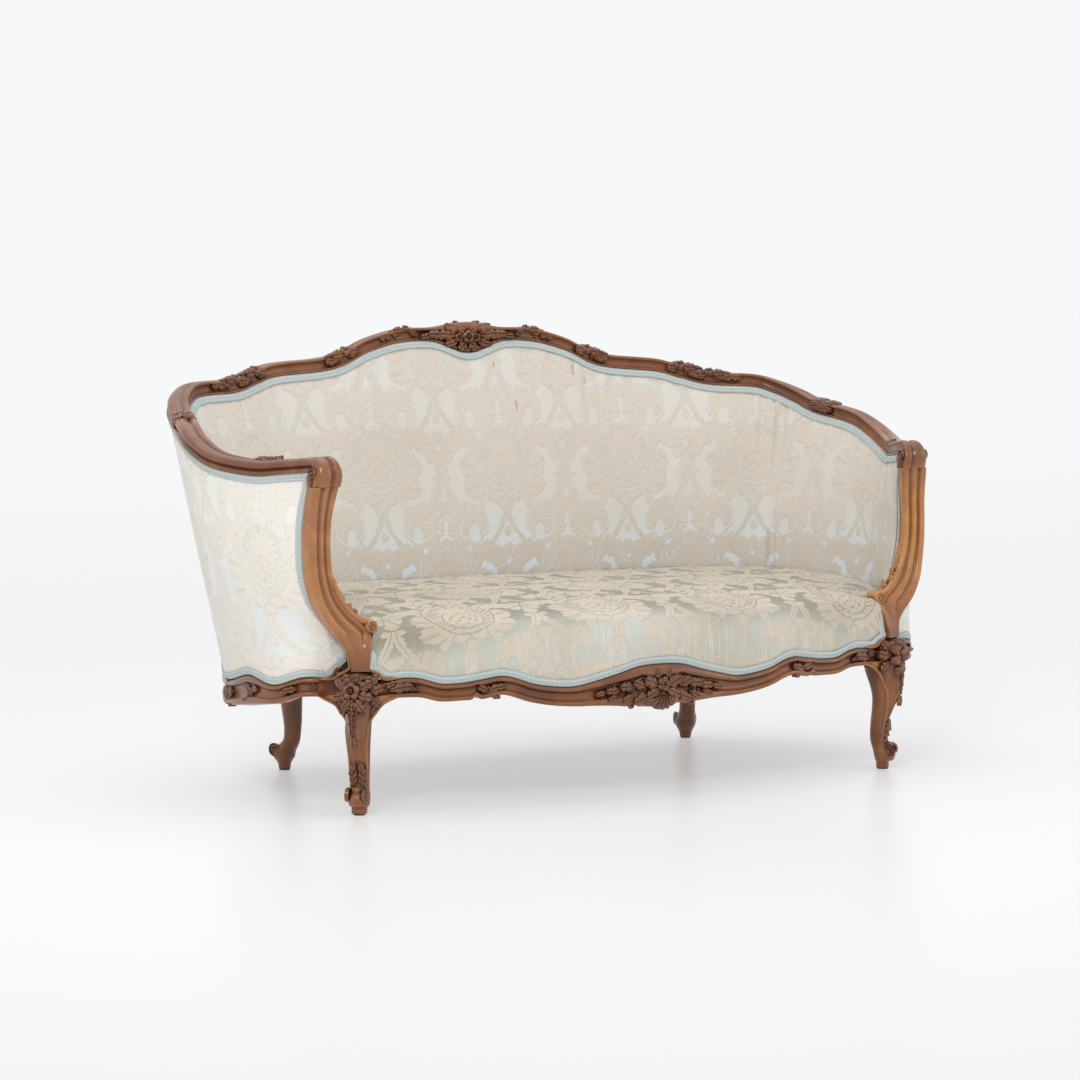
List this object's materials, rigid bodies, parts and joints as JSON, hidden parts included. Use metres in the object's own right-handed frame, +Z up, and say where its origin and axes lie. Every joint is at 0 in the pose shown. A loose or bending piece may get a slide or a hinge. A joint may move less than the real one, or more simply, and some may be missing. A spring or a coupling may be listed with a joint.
{
  "type": "cabriole sofa",
  "caption": "Cabriole sofa with a carved walnut show-wood frame on scrolled cabriole legs, a tight sprung seat and a padded damask back that wraps round into the arms.",
  "frame": {"origin": "on the floor under the middle of the sofa's box", "axes": "+X along the sofa's length, +Y from front to back, +Z up"},
  "size_m": [1.76, 0.928, 0.994],
  "materials": {
    "walnut": "waxed, semi-gloss, darker in the recesses",
    "beech": "plain sawn",
    "damask": "silk damask, satin ground, aged",
    "damask_outside": "silk damask, satin ground, less faded",
    "braid": "woven braid",
    "linen": "coarse linen",
    "jute": "woven jute webbing",
    "spring_steel": "drawn wire",
    "glide_steel": "worn metal glide"
  },
  "bodies": {
    "root": {"top_rail_centre": "walnut", "top_rail_corner_left": "walnut", "top_rail_corner_right": "walnut", "arm_rail_left": "walnut", "arm_rail_right": "walnut", "arm_support_left": "walnut", "arm_support_right": "walnut", "front_leg_left": "walnut", "front_leg_right": "walnut", "rear_leg_left": "walnut", "rear_leg_right": "walnut", "front_seat_rail": "walnut", "side_seat_rail_left": "walnut", "side_seat_rail_right": "walnut", "back_seat_rail": "walnut", "back_upright": "beech", "side_upright_left": "beech", "side_upright_right": "beech", "back_stay_rail": "beech", "side_stay_rail_left": "beech", "side_stay_rail_right": "beech", "seat_braces": "beech", "corner_blocks": "beech", "seat_webbing": "jute", "seat_springs": "spring_steel", "spring_canvas": "linen", "seat_pad": "damask", "back_canvas": "linen", "inside_back_pad": "damask", "inside_arm_pad_left": "damask", "inside_arm_pad_right": "damask", "outside_back_cover": "damask_outside", "outside_arm_cover_left": "damask_outside", "outside_arm_cover_right": "damask_outside", "gimp_inside": "braid", "gimp_outside_top": "braid", "gimp_outside_bottom": "braid", "gimp_post_inside_left": "braid", "gimp_post_inside_right": "braid", "gimp_post_outside_left": "braid", "gimp_post_outside_right": "braid", "gimp_seat_front": "braid", "foot_glides": "glide_steel"}
  },
  "joints": []
}
